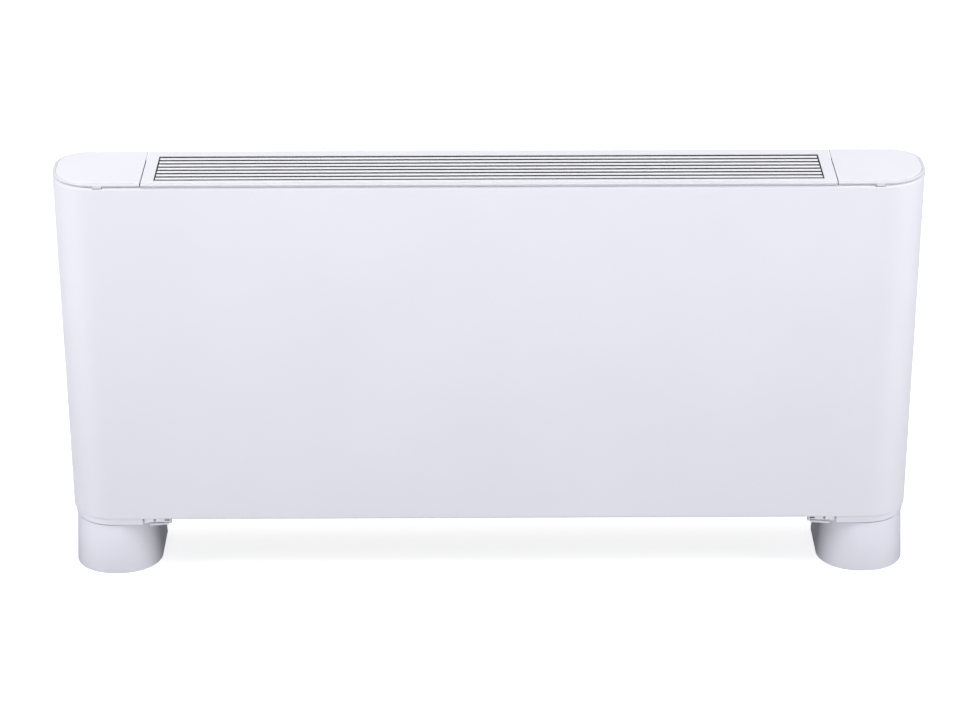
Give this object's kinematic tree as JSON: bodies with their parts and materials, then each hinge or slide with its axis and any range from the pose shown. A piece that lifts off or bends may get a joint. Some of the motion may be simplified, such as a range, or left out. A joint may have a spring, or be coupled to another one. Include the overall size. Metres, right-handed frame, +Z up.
{
  "type": "floor-standing fan coil unit",
  "caption": "Long slim floor-standing indoor air conditioning unit with a top outlet grille, two hinged end lids, hollow feet, a sliding filter and a cross-flow fan.",
  "frame": {"origin": "on the floor, under the middle of the casing's length and depth", "axes": "+X along the unit to its right, +Y to the wall behind it, +Z up"},
  "size_m": [1.36, 0.145, 0.683],
  "materials": {
    "casing_paint": "smooth white powder coat, low gloss",
    "cover_plastic": "fine satin white moulding",
    "grille_paint": "bright white satin paint",
    "foot_plastic": "satin white moulding",
    "galvanised": "zinc-coated sheet with a soft spangle",
    "runner_paint": "white painted sheet",
    "screw_steel": "zinc-plated",
    "filter_plastic": "dark grey moulding",
    "filter_cloth": "woven nylon mesh",
    "rotor_aluminium": "matt aluminium",
    "shaft_steel": "ground steel",
    "bush_bronze": "sintered bronze",
    "ring_rubber": "black rubber",
    "motor_steel": "dark grey paint",
    "fin_aluminium": "bare aluminium fin stock",
    "copper": "copper tube",
    "fitting_brass": "turned brass",
    "pan_plastic": "black moulding",
    "box_plastic": "light grey moulding",
    "strip_plastic": "white moulding",
    "capacitor_can": "drawn aluminium can",
    "gland_plastic": "black moulding",
    "knob_plastic": "dark grey moulding"
  },
  "bodies": {
    "casing": {"front_panel": "casing_paint", "top_frame": "cover_plastic", "outlet_grille": "grille_paint", "left_hinge_bracket": "galvanised", "right_hinge_bracket": "galvanised", "hinge_pins": "screw_steel", "left_collar": "foot_plastic", "right_collar": "foot_plastic", "left_foot": "foot_plastic", "right_foot": "foot_plastic", "foot_screws": "screw_steel", "left_filter_runner": "runner_paint", "right_filter_runner": "runner_paint", "rear_chassis": "galvanised", "left_side_plate": "galvanised", "right_side_plate": "galvanised", "bearing_bush": "bush_bronze", "bearing_ring": "ring_rubber", "motor_plate": "galvanised", "fan_motor": "motor_steel", "fan_volute": "galvanised", "fan_tongue": "galvanised", "coil_fins": "fin_aluminium", "left_coil_plate": "galvanised", "right_coil_plate": "galvanised", "return_bends": "copper", "supply_header": "copper", "return_header": "copper", "supply_connection": "fitting_brass", "return_connection": "fitting_brass", "air_vent": "fitting_brass", "drain_pan": "pan_plastic", "drain_spigot": "pan_plastic", "valve_tray": "pan_plastic", "terminal_box": "box_plastic", "terminal_cover": "box_plastic", "terminal_strip": "strip_plastic", "motor_capacitor": "capacitor_can", "cable_gland": "gland_plastic", "control_plate": "runner_paint", "control_box": "box_plastic", "panel_screws": "screw_steel"},
    "left_lid": {"left_lid": "cover_plastic"},
    "right_lid": {"right_lid": "cover_plastic"},
    "fan": {"fan_rotor": "rotor_aluminium", "bearing_shaft": "shaft_steel", "motor_shaft": "shaft_steel"},
    "filter": {"filter_frame": "filter_plastic", "filter_mesh": "filter_cloth"},
    "speed_knob": {"speed_knob": "knob_plastic"},
    "thermostat_knob": {"thermostat_knob": "knob_plastic"}
  },
  "joints": [
    {"name": "left_lid_hinge", "type": "hinge", "parent": "casing", "child": "left_lid", "pos_m": [-0.5885, 0.0645, 0.6763], "axis": [-1, 0, 0], "range_deg": [0, 90]},
    {"name": "right_lid_hinge", "type": "hinge", "parent": "casing", "child": "right_lid", "pos_m": [0.5885, 0.0645, 0.6763], "axis": [-1, 0, 0], "range_deg": [0, 90]},
    {"name": "fan_spin", "type": "hinge", "parent": "casing", "child": "fan", "pos_m": [0, 0, 0.547], "axis": [1, 0, 0], "continuous": true},
    {"name": "filter_slide", "type": "slide", "parent": "casing", "child": "filter", "axis": [0, -1, 0], "range_m": [0, 0.09]},
    {"name": "speed_turn", "type": "hinge", "parent": "casing", "child": "speed_knob", "pos_m": [0.5642, 0, 0.6625], "axis": [0, 0, -1], "range_deg": [0, 135]},
    {"name": "thermostat_turn", "type": "hinge", "parent": "casing", "child": "thermostat_knob", "pos_m": [0.6102, 0, 0.6625], "axis": [0, 0, -1], "range_deg": [0, 270]}
  ]
}
